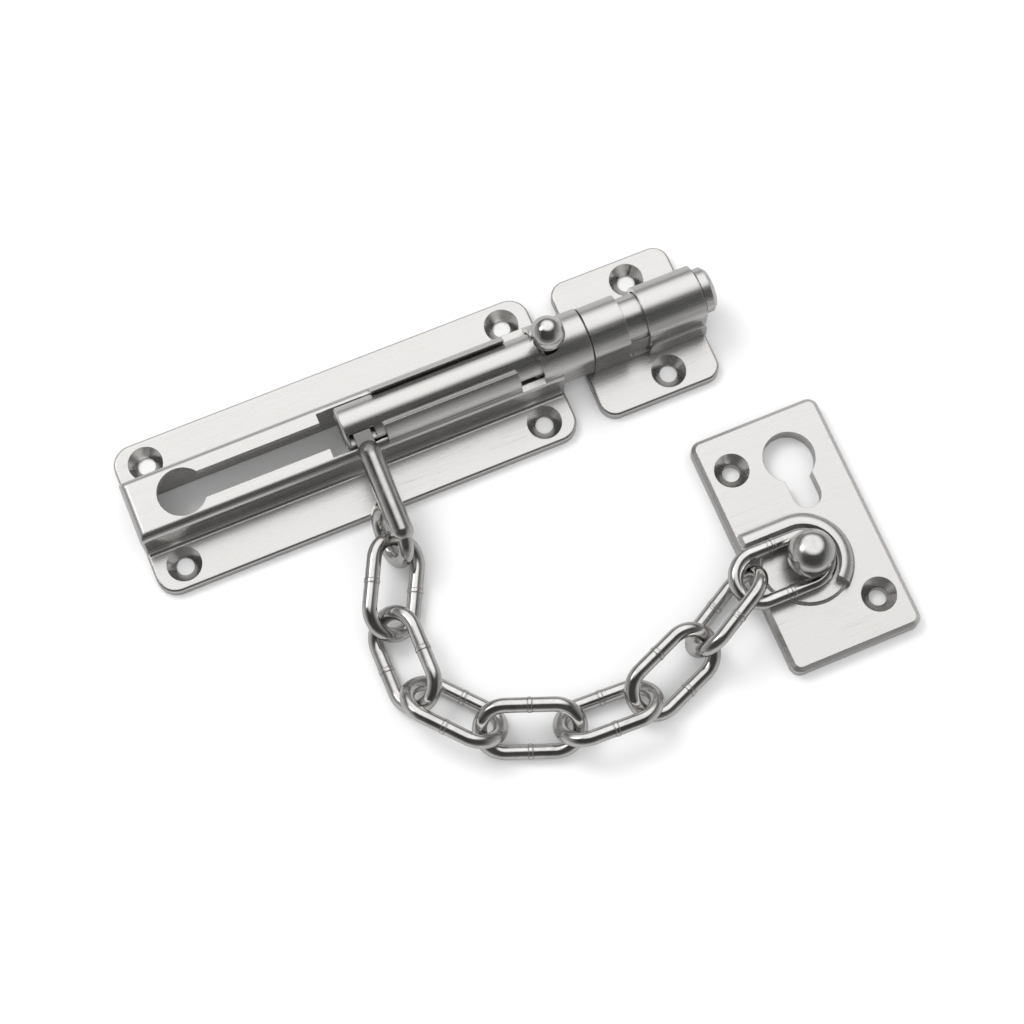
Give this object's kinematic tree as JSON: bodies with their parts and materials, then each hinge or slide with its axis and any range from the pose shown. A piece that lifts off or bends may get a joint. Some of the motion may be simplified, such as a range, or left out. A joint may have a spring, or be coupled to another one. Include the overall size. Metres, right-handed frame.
{
  "type": "door chain with bolt",
  "caption": "Barrel bolt with a welded chain: a round bolt slides from its channelled base into an arched keeper, and the chain runs from its tail to a keyholed plate.",
  "frame": {"origin": "middle of the base plate's mounting face", "axes": "+X along the bolt to the keeper, +Z out of the door, +Y away from the chain"},
  "size_m": [0.1617, 0.1129, 0.0269],
  "materials": {
    "satin_plate": "satin, brushed along the length",
    "turned_bar": "satin, fine turned",
    "polished_steel": "polished"
  },
  "bodies": {
    "fixed_plates": {"base_plate": "satin_plate", "keeper_plate": "satin_plate"},
    "bolt_body": {"bolt": "turned_bar", "knob": "polished_steel", "clevis_pin": "polished_steel"},
    "lug": {"chain_lug": "polished_steel"},
    "link_1": {"chain_link_1": "polished_steel"},
    "link_2": {"chain_link_2": "polished_steel"},
    "link_3": {"chain_link_3": "polished_steel"},
    "link_4": {"chain_link_4": "polished_steel"},
    "link_5": {"chain_link_5": "polished_steel"},
    "link_6": {"chain_link_6": "polished_steel"},
    "link_7": {"chain_link_7": "polished_steel"},
    "link_8": {"chain_link_8": "polished_steel"},
    "chain_plate_body": {"chain_plate": "satin_plate", "hook_stud": "polished_steel"}
  },
  "joints": [
    {"name": "bolt_slide", "type": "slide", "parent": "fixed_plates", "child": "bolt_body", "axis": [1, 0, 0], "range_m": [-0.038, 0]},
    {"name": "lug_swing", "type": "hinge", "parent": "bolt_body", "child": "lug", "pos_m": [0.0036, -0.0017, 0.0148], "axis": [0, 0, 1], "range_deg": [-9, 6]},
    {"name": "link_1_turn", "type": "hinge", "parent": "lug", "child": "link_1", "pos_m": [0.00135, -0.0304, 0.00612], "axis": [0, 0, -1], "range_deg": [-6, 6]},
    {"name": "link_2_turn", "type": "hinge", "parent": "link_1", "child": "link_2", "pos_m": [-0.00691, -0.04661, 0.0056], "axis": [0, 0, 1], "range_deg": [-15, 5]},
    {"name": "link_3_turn", "type": "hinge", "parent": "link_2", "child": "link_3", "pos_m": [-0.00691, -0.06469, 0.0056], "axis": [0, 0, -1], "range_deg": [-5, 15]},
    {"name": "link_4_turn", "type": "hinge", "parent": "link_3", "child": "link_4", "pos_m": [0.00498, -0.07837, 0.0056], "axis": [0, 0, 1], "range_deg": [-15, 6]},
    {"name": "link_5_turn", "type": "hinge", "parent": "link_4", "child": "link_5", "pos_m": [0.02223, -0.08499, 0.0056], "axis": [0, 0, -1], "range_deg": [-8, 15]},
    {"name": "link_6_turn", "type": "hinge", "parent": "link_5", "child": "link_6", "pos_m": [0.04057, -0.08563, 0.0056], "axis": [0, 0, 1], "range_deg": [-15, 10]},
    {"name": "link_7_turn", "type": "hinge", "parent": "link_6", "child": "link_7", "pos_m": [0.05777, -0.07868, 0.0066], "axis": [0, 0, -1], "range_deg": [-10, 10]},
    {"name": "link_8_turn", "type": "hinge", "parent": "link_7", "child": "link_8", "pos_m": [0.0736, -0.06991, 0.008], "axis": [0, 0, 1], "range_deg": [-6, 8]},
    {"name": "chain_plate_turn", "type": "hinge", "parent": "link_8", "child": "chain_plate_body", "pos_m": [0.08914, -0.06991, 0.008], "axis": [0, 0, -1], "range_deg": [-2, 10]}
  ]
}
